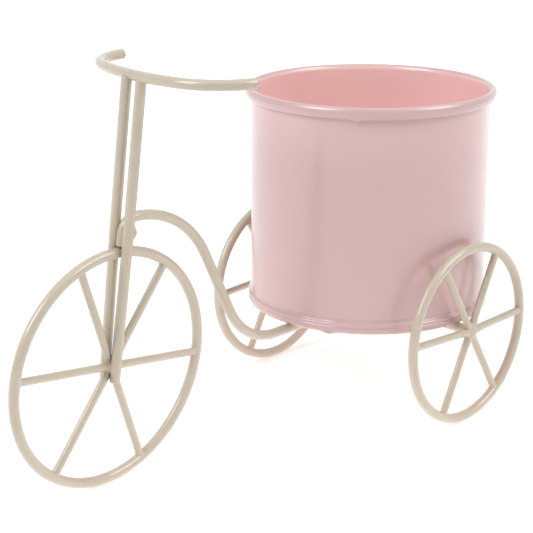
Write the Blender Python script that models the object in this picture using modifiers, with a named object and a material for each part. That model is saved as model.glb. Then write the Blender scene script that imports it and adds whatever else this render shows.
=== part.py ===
"""Bicycle planter: a painted sheet-steel pot carried on a tricycle welded from steel wire.

Metres, +Z up, +X towards the front wheel, +Y towards the left side of the bicycle.
The origin is on the ground, under the middle of the whole planter.
"""

import math

import bmesh
import bpy
from mathutils import Euler, Matrix, Vector

# Wire stock, the gap left between pieces that are welded or stand on each other, and how
# far a wire's end sinks into the round wire that it is welded to
WIRE_RADIUS = 0.0020
SPOKE_RADIUS = 0.0015
JOINT_GAP = 0.0003
WELD_SINK = 0.0008

# Pot
POT_HEIGHT = 0.0930
POT_FOOT_RADIUS = 0.0502
POT_NARROWING = 0.0004
POT_SHEET = 0.0006
RIM_OVERHANG = 0.0027
RIM_ROLL_HEIGHT = 0.0042
SEAM_OVERHANG = 0.0012
SEAM_EDGE_OVERHANG = 0.0001
SEAM_HEIGHT = 0.0042
SEAM_GROOVE_DEPTH = 0.0003
SEAM_FOLD_WIDTH = 0.0032
SEAM_FOLD_THICKNESS = 0.0008
BASE_SHEET = 0.0008
BASE_FLANGE_HEIGHT = 0.0028
BASE_BEND_RADIUS = 0.0012
# Where the seam band turns, as shares of its height above its lower edge
SEAM_SHOULDER_SHARE = 0.90
SEAM_GROOVE_TOP_SHARE = 0.76
SEAM_GROOVE_SHARE = 0.68
SEAM_GROOVE_FOOT_SHARE = 0.60
SEAM_BELLY_SHARE = 0.30
SEAM_ROUND_SHARE = 0.10
SEAM_ROUND_WIDTH_SHARE = 0.70

# Rear wheels, one on each side of the pot, with the place where their rods cross
REAR_RING_RADIUS = 0.0363
REAR_WHEEL_CLEARANCE = 0.00175
AXLE_RISE = 0.0014
LEFT_CROSSING_AHEAD = -0.0014
LEFT_CROSSING_RISE = 0.0006
RIGHT_CROSSING_AHEAD = -0.0008
RIGHT_CROSSING_RISE = 0.0012
# Angles of a wheel's rods above level: the through rod, then its four half rods
LEFT_SPOKE_ANGLES = (58.6, 117.2, 178.7, 297.2, 3.3)
RIGHT_SPOKE_ANGLES = (58.5, 117.7, 177.5, 297.7, -2.5)

# Front wheel and fork, built upright about the head joint, then leaned and turned
FRONT_RING_RADIUS = 0.0450
FRONT_CROSSING_RISE = 0.0010
FRONT_SPOKE_ANGLES = (69.7, 126.7, 187.9, 306.7, 7.9)
FRONT_LEAN = 3.77
FRONT_TURN = 1.04
FORK_RAKE = 4.75
FORK_AHEAD_OF_STEM = 0.00055
FORK_TOP_SPREAD = 0.00177
FORK_HEAD_SPREAD = 0.0017
FORK_HUB_SPREAD = 0.0011
FORK_END_BELOW_HUB = 0.0046

# Frame rod: head stem, head bend, arch, slope, foot bend and the level run under the pot
ROD_END_ABOVE_WHEEL = 0.0008
ROD_STEM_LENGTH = 0.0043
ROD_STEM_RAKE = 10.0
ROD_HEAD_BEND_RADIUS = 0.0060
ROD_ARCH_RADIUS = 0.0392
ROD_SLOPE = 63.6
ROD_FOOT_BEND_RADIUS = 0.0282
ROD_FOOT_AHEAD_OF_SEAM = 0.0069
HEAD_JOINT_ABOVE_ROD_END = 0.0041

# Handlebar: a shallow front arc that turns back into two short grips
BAR_ABOVE_CREST = 0.0522
BAR_FRONT_RADIUS = 0.0940
BAR_FRONT_ANGLE = 13.9
BAR_CORNER_RADIUS = 0.0240
BAR_CORNER_ANGLE = 69.1
BAR_TURN = -7.0
BAR_SET_BACK = 0.0008
BAR_SIDE_SET = 0.0014

# Welds
HUB_WELD_RADIUS = 0.0034
HUB_WELD_CAP = 0.0009
HUB_WELD_INSET = 0.0003
HEAD_WELD_HALF_WIDTH = 0.0049
HEAD_WELD_HALF_DEPTH = 0.0018
HEAD_WELD_HALF_HEIGHT = 0.0036
HEAD_WELD_BEHIND_STEM = 0.0026
HEAD_WELD_RISE = 0.0006

# How finely round forms are divided
POT_STEPS = 60
ROLL_STEPS = 12
RING_STEPS = 60
WIRE_SIDES = 12
BEND_STEP = 9.0
WELD_STEPS = 16
SMOOTH_ANGLE = 40.0
MERGE = 0.0001
CAP_MERGE = 0.00001

# Sizes that follow from the ones above
POT_NECK_RADIUS = POT_FOOT_RADIUS - POT_NARROWING
POT_RIM_RADIUS = POT_NECK_RADIUS + RIM_OVERHANG
SEAM_RADIUS = POT_FOOT_RADIUS + SEAM_OVERHANG
SEAM_EDGE_RADIUS = POT_FOOT_RADIUS + SEAM_EDGE_OVERHANG
HALF_TRACK = SEAM_RADIUS + REAR_WHEEL_CLEARANCE + WIRE_RADIUS
REAR_CENTRE_HEIGHT = REAR_RING_RADIUS + WIRE_RADIUS
AXLE_HEIGHT = REAR_CENTRE_HEIGHT + AXLE_RISE
POT_BOTTOM = AXLE_HEIGHT + WIRE_RADIUS + JOINT_GAP
POT_TOP = POT_BOTTOM + POT_HEIGHT
LEAN = math.radians(FRONT_LEAN)
TURN = math.radians(FRONT_TURN)
RAKE = math.radians(FORK_RAKE)
STEM_RAKE = math.radians(ROD_STEM_RAKE)
FRONT_CENTRE_HEIGHT = FRONT_RING_RADIUS * math.cos(LEAN) + WIRE_RADIUS
FRONT_WHEEL_TOP = FRONT_CENTRE_HEIGHT + FRONT_RING_RADIUS * math.cos(LEAN) + WIRE_RADIUS
ROD_END_HEIGHT = FRONT_WHEEL_TOP + ROD_END_ABOVE_WHEEL
HEAD_HEIGHT = ROD_END_HEIGHT + HEAD_JOINT_ABOVE_ROD_END
ROD_HEAD_BEND_RISE = ROD_HEAD_BEND_RADIUS * (1.0 - math.sin(STEM_RAKE))
ROD_CREST_HEIGHT = ROD_END_HEIGHT + ROD_STEM_LENGTH * math.cos(STEM_RAKE) + ROD_HEAD_BEND_RISE
BAR_HEIGHT = ROD_CREST_HEIGHT + BAR_ABOVE_CREST

PINK = (0.80, 0.52, 0.50)
CREAM = (0.66, 0.60, 0.50)
GLOSS = 0.25
SATIN = 0.42
WELD_FINISH = 0.50

parts = None
cutters = None


def clear_scene():
    """Removes whatever the opened file holds."""
    for old in list(bpy.data.objects):
        bpy.data.objects.remove(old, do_unlink=True)


def new_collection(name, hidden=False):
    made = bpy.data.collections.new(name)
    made.hide_render = hidden
    bpy.context.scene.collection.children.link(made)
    return made


def paint(name, colour, roughness):
    """A coat of gloss or satin paint over steel."""
    made = bpy.data.materials.new(name)
    made.use_nodes = True
    made.diffuse_color = (*colour, 1.0)
    surface = made.node_tree.nodes["Principled BSDF"]
    surface.inputs["Base Color"].default_value = (*colour, 1.0)
    surface.inputs["Roughness"].default_value = roughness
    surface.inputs["Metallic"].default_value = 0.0
    return made


def place(name, data, parent, colour=None, roughness=SATIN, matrix=None):
    """An object of the planter, or of the cutters where it has no colour."""
    made = bpy.data.objects.new(name, data)
    made.parent = parent
    if matrix is not None:
        made.matrix_basis = matrix
    if colour is None:
        cutters.objects.link(made)
        made.hide_render = True
        made.display_type = "WIRE"
    else:
        parts.objects.link(made)
        data.materials.append(paint(name + "_paint", colour, roughness))
    return made


def smooth(mesh):
    mesh.shade_smooth()
    mesh.set_sharp_from_angle(angle=math.radians(SMOOTH_ANGLE))


def frame_empty(name, location, turn=(0.0, 0.0, 0.0), parent=None):
    made = bpy.data.objects.new(name, None)
    made.location = location
    made.rotation_euler = Euler(turn)
    made.parent = parent
    parts.objects.link(made)
    return made


class Route:
    """A path in one plane that runs straight and bends by arcs, from a start and a heading."""

    def __init__(self, start, heading):
        self.points = [Vector(start)]
        self.heading = math.radians(heading)

    def straight(self, length):
        step = Vector((math.cos(self.heading), math.sin(self.heading)))
        self.points.append(self.points[-1] + step * length)
        return self

    def bend(self, radius, angle):
        """Turns left by a positive angle in degrees, right by a negative one."""
        count = max(2, round(abs(angle) / BEND_STEP))
        turn = math.radians(angle) / count
        chord = 2.0 * radius * math.sin(abs(turn) / 2.0)
        for _ in range(count):
            self.heading += turn / 2.0
            step = Vector((math.cos(self.heading), math.sin(self.heading)))
            self.points.append(self.points[-1] + step * chord)
            self.heading += turn / 2.0
        return self


def wire_curve(name, points, radius):
    """A poly spline through the points, thickened to a round wire with closed ends."""
    curve = bpy.data.curves.new(name, "CURVE")
    curve.dimensions = "3D"
    curve.bevel_depth = radius
    curve.bevel_resolution = (WIRE_SIDES - 4) // 2
    curve.use_fill_caps = True
    spline = curve.splines.new("POLY")
    spline.points.add(len(points) - 1)
    for knot, point in zip(spline.points, points):
        knot.co = (*point, 1.0)
    return curve


def wire_mesh(name, points, radius):
    """The same wire as a closed mesh, which takes and makes Booleans."""
    holder = bpy.data.objects.new(name, wire_curve(name, points, radius))
    bpy.context.scene.collection.objects.link(holder)
    bpy.context.view_layer.update()
    graph = bpy.context.evaluated_depsgraph_get()
    mesh = bpy.data.meshes.new_from_object(holder.evaluated_get(graph))
    bpy.data.objects.remove(holder, do_unlink=True)
    body = bmesh.new()
    body.from_mesh(mesh)
    bmesh.ops.remove_doubles(body, verts=body.verts, dist=CAP_MERGE)
    bmesh.ops.recalc_face_normals(body, faces=body.faces)
    body.to_mesh(mesh)
    body.free()
    mesh.name = name
    return mesh


def cut(target, tool):
    """Subtracts a tool from a piece, and keeps the cut as a modifier."""
    made = target.modifiers.new("seat for " + tool.name, "BOOLEAN")
    made.operation = "DIFFERENCE"
    made.solver = "EXACT"
    made.object = tool


def turned(name, outline, parent, colour, roughness):
    """Turns a closed or axis-to-axis outline of (radius, height) about Z."""
    mesh = bpy.data.meshes.new(name)
    body = bmesh.new()
    knots = [body.verts.new((radius, 0.0, height)) for radius, height in outline]
    for first, second in zip(knots, knots[1:]):
        body.edges.new((first, second))
    if outline[0][0] > 0.0:
        body.edges.new((knots[-1], knots[0]))
    body.to_mesh(mesh)
    body.free()
    made = place(name, mesh, parent, colour, roughness)
    screw = made.modifiers.new("turn", "SCREW")
    screw.steps = POT_STEPS
    screw.render_steps = POT_STEPS
    screw.use_smooth_shade = True
    screw.use_merge_vertices = True
    screw.merge_threshold = MERGE
    return made


def pot_outline():
    """Section of the pot's wall: the rolled rim, the outer wall, the seam band and the inner wall."""
    neck_inside = POT_NECK_RADIUS - POT_SHEET
    foot_inside = POT_FOOT_RADIUS - POT_SHEET
    half_width = (POT_RIM_RADIUS - neck_inside) / 2.0
    half_height = RIM_ROLL_HEIGHT / 2.0
    roll_radius = POT_RIM_RADIUS - half_width
    roll_centre = POT_TOP - half_height
    tuck = math.acos((POT_NECK_RADIUS - roll_radius) / half_width)
    points = []
    for step in range(ROLL_STEPS + 1):
        angle = math.pi - (math.pi + tuck) * step / ROLL_STEPS
        points.append(
            (
                roll_radius + half_width * math.cos(angle),
                roll_centre + half_height * math.sin(angle),
            )
        )
    swell = SEAM_RADIUS - SEAM_EDGE_RADIUS
    points += [
        (POT_FOOT_RADIUS, POT_BOTTOM + SEAM_HEIGHT),
        (SEAM_RADIUS, POT_BOTTOM + SEAM_HEIGHT * SEAM_SHOULDER_SHARE),
        (SEAM_RADIUS, POT_BOTTOM + SEAM_HEIGHT * SEAM_GROOVE_TOP_SHARE),
        (SEAM_RADIUS - SEAM_GROOVE_DEPTH, POT_BOTTOM + SEAM_HEIGHT * SEAM_GROOVE_SHARE),
        (SEAM_RADIUS, POT_BOTTOM + SEAM_HEIGHT * SEAM_GROOVE_FOOT_SHARE),
        (SEAM_RADIUS, POT_BOTTOM + SEAM_HEIGHT * SEAM_BELLY_SHARE),
        (
            SEAM_EDGE_RADIUS + swell * SEAM_ROUND_WIDTH_SHARE,
            POT_BOTTOM + SEAM_HEIGHT * SEAM_ROUND_SHARE,
        ),
        (SEAM_EDGE_RADIUS, POT_BOTTOM),
        (foot_inside - SEAM_FOLD_WIDTH, POT_BOTTOM),
        (foot_inside - SEAM_FOLD_WIDTH, POT_BOTTOM + SEAM_FOLD_THICKNESS),
        (foot_inside, POT_BOTTOM + SEAM_FOLD_THICKNESS),
    ]
    return points


def base_outline():
    """Section of the pressed base, which lies on the seam's fold with its flange turned up."""
    under = POT_BOTTOM + SEAM_FOLD_THICKNESS + JOINT_GAP
    outer = POT_FOOT_RADIUS - POT_SHEET - JOINT_GAP
    inner = outer - BASE_SHEET
    return [
        (0.0, under + BASE_SHEET),
        (inner - BASE_BEND_RADIUS, under + BASE_SHEET),
        (inner, under + BASE_SHEET + BASE_BEND_RADIUS),
        (inner, under + BASE_FLANGE_HEIGHT),
        (outer, under + BASE_FLANGE_HEIGHT),
        (outer, under + BASE_BEND_RADIUS),
        (outer - BASE_BEND_RADIUS, under),
        (0.0, under),
    ]


def rod_points():
    """The frame rod's centre line in the middle plane, from the axle to its end over the wheel."""
    slope = math.radians(ROD_SLOPE)
    bends = (ROD_ARCH_RADIUS + ROD_FOOT_BEND_RADIUS) * (1.0 - math.cos(slope))
    foot = SEAM_RADIUS + ROD_FOOT_AHEAD_OF_SEAM
    route = Route((WIRE_RADIUS - WELD_SINK, AXLE_HEIGHT), 0.0)
    route.straight(foot - WIRE_RADIUS + WELD_SINK)
    route.bend(ROD_FOOT_BEND_RADIUS, ROD_SLOPE)
    route.straight((ROD_CREST_HEIGHT - AXLE_HEIGHT - bends) / math.sin(slope))
    route.bend(ROD_ARCH_RADIUS, -ROD_SLOPE)
    route.bend(ROD_HEAD_BEND_RADIUS, ROD_STEM_RAKE - 90.0)
    route.straight(ROD_STEM_LENGTH)
    return [Vector((point.x, 0.0, point.y)) for point in route.points]


def bar_points():
    """The handlebar's centre line, level, from its right grip to its left one."""
    half = Route((0.0, 0.0), 90.0)
    half.bend(BAR_FRONT_RADIUS, BAR_FRONT_ANGLE)
    half.bend(BAR_CORNER_RADIUS, BAR_CORNER_ANGLE)
    left = [Vector((point.x, point.y, 0.0)) for point in half.points]
    right = [Vector((point.x, -point.y, 0.0)) for point in half.points[1:]]
    return right[::-1] + left


def head_point():
    """Where the fork legs are welded to the frame rod's stem, on the stem's centre line."""
    back = HEAD_JOINT_ABOVE_ROD_END * math.tan(STEM_RAKE)
    return Vector((rod_points()[-1].x - back, 0.0, HEAD_HEIGHT))


def front_tilt():
    return Euler((-LEAN, 0.0, TURN))


def fork_point(along, side):
    """A point on a fork leg's centre line, in the upright frame of the front assembly."""
    ahead = FORK_AHEAD_OF_STEM - along * math.sin(RAKE)
    return Vector((ahead, side, along * math.cos(RAKE)))


def hub_along():
    """How far the front wheel's centre lies down the fork from the head joint."""
    return (FRONT_CENTRE_HEIGHT - HEAD_HEIGHT) / (math.cos(LEAN) * math.cos(RAKE))


def fork_top_along():
    """How far the legs reach up, to where they sink into the handlebar's underside."""
    sunk = BAR_HEIGHT - WIRE_RADIUS + WELD_SINK
    return (sunk - HEAD_HEIGHT) / (math.cos(LEAN) * math.cos(RAKE))


def fork_leg_points(side):
    """A leg's centre line, drawn in a little from the head joint down to the hub."""
    drawn_in = (FORK_HEAD_SPREAD - FORK_HUB_SPREAD) / -hub_along()
    lower = hub_along() - FORK_END_BELOW_HUB
    return [
        fork_point(lower, side * (WIRE_RADIUS + FORK_HEAD_SPREAD + drawn_in * lower)),
        fork_point(0.0, side * (WIRE_RADIUS + FORK_HEAD_SPREAD)),
        fork_point(fork_top_along(), side * (WIRE_RADIUS + FORK_TOP_SPREAD)),
    ]


def rod_between(radius, start, end):
    """A straight rod with square ends."""
    mesh = bpy.data.meshes.new("rod")
    body = bmesh.new()
    axis = end - start
    turn = axis.to_track_quat("Z", "Y").to_matrix().to_4x4()
    bmesh.ops.create_cone(
        body,
        cap_ends=True,
        segments=WIRE_SIDES,
        radius1=radius,
        radius2=radius,
        depth=axis.length,
        matrix=Matrix.Translation((start + end) / 2.0) @ turn,
    )
    body.to_mesh(mesh)
    body.free()
    smooth(mesh)
    return mesh


def ring_mesh(name, radius, wire_radius):
    """A wheel rim: one wire bent round in the XZ plane and butt-welded to itself."""
    bpy.ops.mesh.primitive_torus_add(
        major_segments=RING_STEPS,
        minor_segments=WIRE_SIDES,
        major_radius=radius,
        minor_radius=wire_radius,
        rotation=(math.pi / 2.0, 0.0, 0.0),
    )
    made = bpy.context.object
    bpy.ops.object.transform_apply(location=False, rotation=True, scale=False)
    mesh = made.data
    bpy.data.objects.remove(made, do_unlink=True)
    mesh.name = name
    mesh.shade_smooth()
    return mesh


def way_at(angle):
    """The direction in a wheel's plane at an angle in degrees above level."""
    turn = math.radians(angle)
    return Vector((math.cos(turn), 0.0, math.sin(turn)))


def rim_reach(start, way, ring_radius):
    """How far a straight way goes from a point in a wheel before its end has sunk in the rim."""
    limit = ring_radius - WIRE_RADIUS + WELD_SINK
    along = start.dot(way)
    return -along + math.sqrt(limit**2 - start.length_squared + along**2)


def spoke_lines(crossing, ring_radius, angles):
    """Ends of the rod that goes right through a wheel, then of the half rods butted on it."""
    way = way_at(angles[0])
    back = crossing - way * rim_reach(crossing, -way, ring_radius)
    lines = [(back, crossing + way * rim_reach(crossing, way, ring_radius))]
    for angle in angles[1:]:
        way = way_at(angle)
        apart = math.radians(angle - angles[0])
        clear = SPOKE_RADIUS + JOINT_GAP + SPOKE_RADIUS * abs(math.cos(apart))
        start = crossing + way * (clear / abs(math.sin(apart)))
        lines.append((start, crossing + way * rim_reach(crossing, way, ring_radius)))
    return lines


def build_wheel(prefix, wheel, ring_radius, crossing, angles):
    """A rim and its five rods seated in it, and the same rods thicker by a joint's gap."""
    rim_name = prefix + "_wheel_rim"
    rim = place(rim_name, ring_mesh(rim_name, ring_radius, WIRE_RADIUS), wheel, CREAM)
    seat_mesh = ring_mesh(rim_name + "_clearance", ring_radius, WIRE_RADIUS + JOINT_GAP)
    seat = place(rim_name + "_clearance", seat_mesh, wheel)
    names = [prefix + "_through_spoke"]
    names += [f"{prefix}_half_spoke_{number}" for number in (1, 2, 3, 4)]
    rods = []
    clearances = []
    for name, (start, end) in zip(names, spoke_lines(crossing, ring_radius, angles)):
        rod = place(name, rod_between(SPOKE_RADIUS, start, end), wheel, CREAM)
        cut(rod, seat)
        rods.append(rod)
        past = (end - start).normalized() * JOINT_GAP
        thicker = rod_between(SPOKE_RADIUS + JOINT_GAP, start - past, end + past)
        clearances.append(place(name + "_clearance", thicker, wheel))
    return rim, rods, clearances


def lump_mesh(name, half_sizes):
    """A lump of weld metal, as a rounded mound."""
    mesh = bpy.data.meshes.new(name)
    body = bmesh.new()
    bmesh.ops.create_uvsphere(
        body,
        u_segments=WELD_STEPS,
        v_segments=WELD_STEPS // 2,
        radius=1.0,
        matrix=Matrix.Diagonal((*half_sizes, 1.0)),
    )
    body.to_mesh(mesh)
    body.free()
    mesh.shade_smooth()
    return mesh


def build_pot(root):
    turned("pot_wall", pot_outline(), root, PINK, GLOSS)
    turned("pot_base", base_outline(), root, PINK, GLOSS)


def build_rear(root):
    """Both rear wheels, the welds on their hubs and the axle between them."""
    depth = SPOKE_RADIUS + (HUB_WELD_CAP - HUB_WELD_INSET) / 2.0
    outset = (HUB_WELD_CAP + HUB_WELD_INSET) / 2.0
    for side, prefix, ahead, rise, angles in (
        (1.0, "left_rear", LEFT_CROSSING_AHEAD, LEFT_CROSSING_RISE, LEFT_SPOKE_ANGLES),
        (-1.0, "right_rear", RIGHT_CROSSING_AHEAD, RIGHT_CROSSING_RISE, RIGHT_SPOKE_ANGLES),
    ):
        hub = (0.0, side * HALF_TRACK, REAR_CENTRE_HEIGHT)
        wheel = frame_empty(prefix + "_wheel", hub, parent=root)
        crossing = Vector((ahead, 0.0, rise))
        _, _, clearances = build_wheel(prefix, wheel, REAR_RING_RADIUS, crossing, angles)
        mound = lump_mesh(prefix + "_hub_weld", (HUB_WELD_RADIUS, depth, HUB_WELD_RADIUS))
        seat = Matrix.Translation(crossing + Vector((0.0, side * outset, 0.0)))
        weld = place(prefix + "_hub_weld", mound, wheel, CREAM, WELD_FINISH, seat)
        for clearance in clearances:
            cut(weld, clearance)
    reach = HALF_TRACK - SPOKE_RADIUS - JOINT_GAP
    ends = [Vector((0.0, side * reach, AXLE_HEIGHT)) for side in (-1.0, 1.0)]
    place("rear_axle", rod_between(WIRE_RADIUS, *ends), root, CREAM)
    clearance = place("rear_axle_clearance", rod_between(WIRE_RADIUS + JOINT_GAP, *ends), root)
    return clearance


def build_frame_rod(root, axle_clearance):
    """The bent rod that joins the rear axle to the fork, seated against the axle."""
    points = rod_points()
    rod = place("frame_rod", wire_mesh("frame_rod", points, WIRE_RADIUS), root, CREAM)
    smooth(rod.data)
    cut(rod, axle_clearance)
    clearance = wire_mesh("frame_rod_clearance", points, WIRE_RADIUS + JOINT_GAP)
    return rod, place("frame_rod_clearance", clearance, root)


def build_handlebar(root):
    """The bar lies level across the tops of both legs, turned a little towards one side."""
    tilt = front_tilt().to_matrix()
    top = head_point() + tilt @ fork_point(fork_top_along(), 0.0)
    centre = Vector((top.x - BAR_SET_BACK, top.y - BAR_SIDE_SET, BAR_HEIGHT))
    seat = Matrix.Translation(centre) @ Matrix.Rotation(math.radians(BAR_TURN), 4, "Z")
    curve = wire_curve("handlebar", bar_points(), WIRE_RADIUS)
    place("handlebar", curve, root, CREAM, SATIN, seat)
    thicker = wire_mesh("handlebar_clearance", bar_points(), WIRE_RADIUS + JOINT_GAP)
    return place("handlebar_clearance", thicker, root, matrix=seat)


def build_front(root, rod, rod_clearance, bar_clearance):
    """Fork legs, front wheel and head weld, in a frame that leans and turns at the head joint."""
    front = frame_empty("front_assembly", head_point(), front_tilt(), root)
    centre = fork_point(hub_along(), 0.0)
    wheel = frame_empty("front_wheel", centre, parent=front)
    crossing = Vector((0.0, 0.0, FRONT_CROSSING_RISE))
    rim, rods, _ = build_wheel("front", wheel, FRONT_RING_RADIUS, crossing, FRONT_SPOKE_ANGLES)
    size = (HEAD_WELD_HALF_DEPTH, HEAD_WELD_HALF_WIDTH, HEAD_WELD_HALF_HEIGHT)
    behind = Matrix.Translation((-HEAD_WELD_BEHIND_STEM, 0.0, HEAD_WELD_RISE))
    mound = lump_mesh("head_weld", size)
    weld = place("head_weld", mound, front, CREAM, WELD_FINISH, behind)
    cut(weld, rod_clearance)
    for side, name in ((1.0, "left_fork_leg"), (-1.0, "right_fork_leg")):
        points = fork_leg_points(side)
        leg = place(name, wire_mesh(name, points, WIRE_RADIUS), front, CREAM)
        smooth(leg.data)
        cut(leg, bar_clearance)
        thicker = wire_mesh(name + "_clearance", points, WIRE_RADIUS + JOINT_GAP)
        clearance = place(name + "_clearance", thicker, front)
        for piece in (weld, rod, rim, *rods):
            cut(piece, clearance)


def middle_of_length():
    """Half way between the pot's rear edge and the front of the front wheel, from the axle."""
    centre = head_point() + front_tilt().to_matrix() @ fork_point(hub_along(), 0.0)
    lean_across = math.sin(TURN) * math.cos(LEAN)
    front_end = centre.x + FRONT_RING_RADIUS * math.sqrt(1.0 - lean_across**2) + WIRE_RADIUS
    return (front_end - POT_RIM_RADIUS) / 2.0


def main():
    global parts, cutters
    clear_scene()
    parts = new_collection("bicycle_planter")
    cutters = new_collection("cutters", hidden=True)
    root = frame_empty("planter", (-middle_of_length(), 0.0, 0.0))
    build_pot(root)
    axle_clearance = build_rear(root)
    rod, rod_clearance = build_frame_rod(root, axle_clearance)
    bar_clearance = build_handlebar(root)
    build_front(root, rod, rod_clearance, bar_clearance)


main()
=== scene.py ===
"""Bicycle planter: paint, welds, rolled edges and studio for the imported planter.

A round pot of painted sheet steel stands on a tricycle welded from steel wire. Each
sub-assembly is a class that holds its own sizes, models its pieces and dresses them.
Metres, +Z up, +X towards the front wheel, +Y towards the left side of the bicycle.
"""

import logging
import math
from collections.abc import Callable
from dataclasses import dataclass, replace
from enum import Enum

import bpy
from mathutils import Euler, Matrix, Vector


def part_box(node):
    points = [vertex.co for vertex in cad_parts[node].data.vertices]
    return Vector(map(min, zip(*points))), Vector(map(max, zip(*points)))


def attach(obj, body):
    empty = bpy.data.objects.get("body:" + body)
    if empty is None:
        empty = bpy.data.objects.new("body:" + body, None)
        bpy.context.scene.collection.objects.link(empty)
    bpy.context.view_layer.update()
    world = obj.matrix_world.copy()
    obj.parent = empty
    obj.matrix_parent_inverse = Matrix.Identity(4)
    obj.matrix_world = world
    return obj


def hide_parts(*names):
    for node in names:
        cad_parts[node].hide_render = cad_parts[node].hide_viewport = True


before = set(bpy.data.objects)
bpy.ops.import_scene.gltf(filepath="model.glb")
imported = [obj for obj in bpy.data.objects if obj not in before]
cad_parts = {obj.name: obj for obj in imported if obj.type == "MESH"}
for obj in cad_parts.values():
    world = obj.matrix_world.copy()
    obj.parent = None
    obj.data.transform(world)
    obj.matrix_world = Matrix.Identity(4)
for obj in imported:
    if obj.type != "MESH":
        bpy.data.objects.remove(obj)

LOG = logging.getLogger("bicycle_planter")

Piece = bpy.types.Object
Socket = bpy.types.NodeSocket
Paint = bpy.types.Material
Triple = tuple[float, float, float]
Tone = Triple
Pair = tuple[float, float]
Outline = list[Pair]
Feed = Socket | float | Tone | Vector
Stub = tuple[Vector, Vector, float, float]

FORWARD = Vector((1.0, 0.0, 0.0))
LEFT = Vector((0.0, 1.0, 0.0))
UP = Vector((0.0, 0.0, 1.0))
TOUCHING = 0.000001

# Degrees above which an edge stays crisp: cut sheet and wire, rounded ends, a bent rim, weld metal
CUT, ROUNDED, BENT, FUSED = 40.0, 50.0, 60.0, 80.0


class Slot(Enum):
    """The record's material slots."""

    POT = "pot_paint"
    WIRE = "wire_paint"


# Modelling by operators


def select_nothing() -> None:
    """Leaves nothing selected, so that an operator acts only on what is picked next."""
    bpy.ops.object.select_all(action="DESELECT")


def pick(piece: Piece) -> None:
    """Makes one piece the only selected and the active one.

    Args:
        piece: The object to work on.
    """
    select_nothing()
    piece.select_set(True)
    bpy.context.view_layer.objects.active = piece


def open_mesh(piece: Piece) -> None:
    """Picks a piece and opens its mesh for editing."""
    pick(piece)
    bpy.ops.object.mode_set(mode="EDIT")


def close_mesh() -> None:
    """Ends the editing of a mesh."""
    bpy.ops.object.mode_set(mode="OBJECT")


def begin(name: str) -> Piece:
    """Names the primitive that was just added and takes its placing into its mesh.

    Args:
        name: The piece's name.

    Returns:
        The piece, ready to be shaped.
    """
    piece = bpy.context.object
    piece.name = name
    piece.data.name = name
    bpy.ops.object.transform_apply(location=True, rotation=True, scale=True)
    return piece


def pick_vertices(piece: Piece, test: Callable[[Vector], bool]) -> None:
    """Selects the vertices that pass a test, in edit mode, and nothing else.

    Args:
        piece: The object being edited.
        test: Says of a vertex's place whether it is picked.
    """
    close_mesh()
    mesh = piece.data
    for group in (mesh.polygons, mesh.edges):
        for item in group:
            item.select = False
    for vertex in mesh.vertices:
        vertex.select = bool(test(vertex.co))
    bpy.ops.object.mode_set(mode="EDIT")
    bpy.ops.mesh.select_mode(type="VERT")


def close_up(piece: Piece, angle: float) -> None:
    """Merges doubles, turns the faces outwards and shades the piece smooth.

    Args:
        piece: The finished mesh.
        angle: Edges sharper than this many degrees stay crisp.
    """
    open_mesh(piece)
    bpy.ops.mesh.select_all(action="SELECT")
    bpy.ops.mesh.remove_doubles(threshold=TOUCHING)
    bpy.ops.mesh.normals_make_consistent(inside=False)
    close_mesh()
    bpy.ops.object.shade_smooth_by_angle(angle=math.radians(angle))


def seat(piece: Piece, matrix: Matrix) -> None:
    """Moves a mesh to its place and leaves its object at the origin, unturned.

    Args:
        piece: The object to place.
        matrix: Where its mesh goes.
    """
    pick(piece)
    piece.matrix_world = matrix @ piece.matrix_world
    bpy.context.view_layer.update()
    bpy.ops.object.transform_apply(location=True, rotation=True, scale=True)


def put_on(piece: Piece, slot: Slot, paint: Paint, *nodes: str) -> None:
    """Gives a piece its paint, lets it ride on the planter and stand for its CAD nodes.

    Args:
        piece: The finished piece.
        slot: The record's slot that its finish comes from; not used.
        paint: Its paint.
        *nodes: The CAD nodes that it stands for.
    """
    piece.data.materials.clear()
    piece.data.materials.append(paint)
    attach(piece, "root")
    if nodes:
        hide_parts(*nodes)
    LOG.info("%s: %d faces", piece.name, len(piece.data.polygons))


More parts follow.
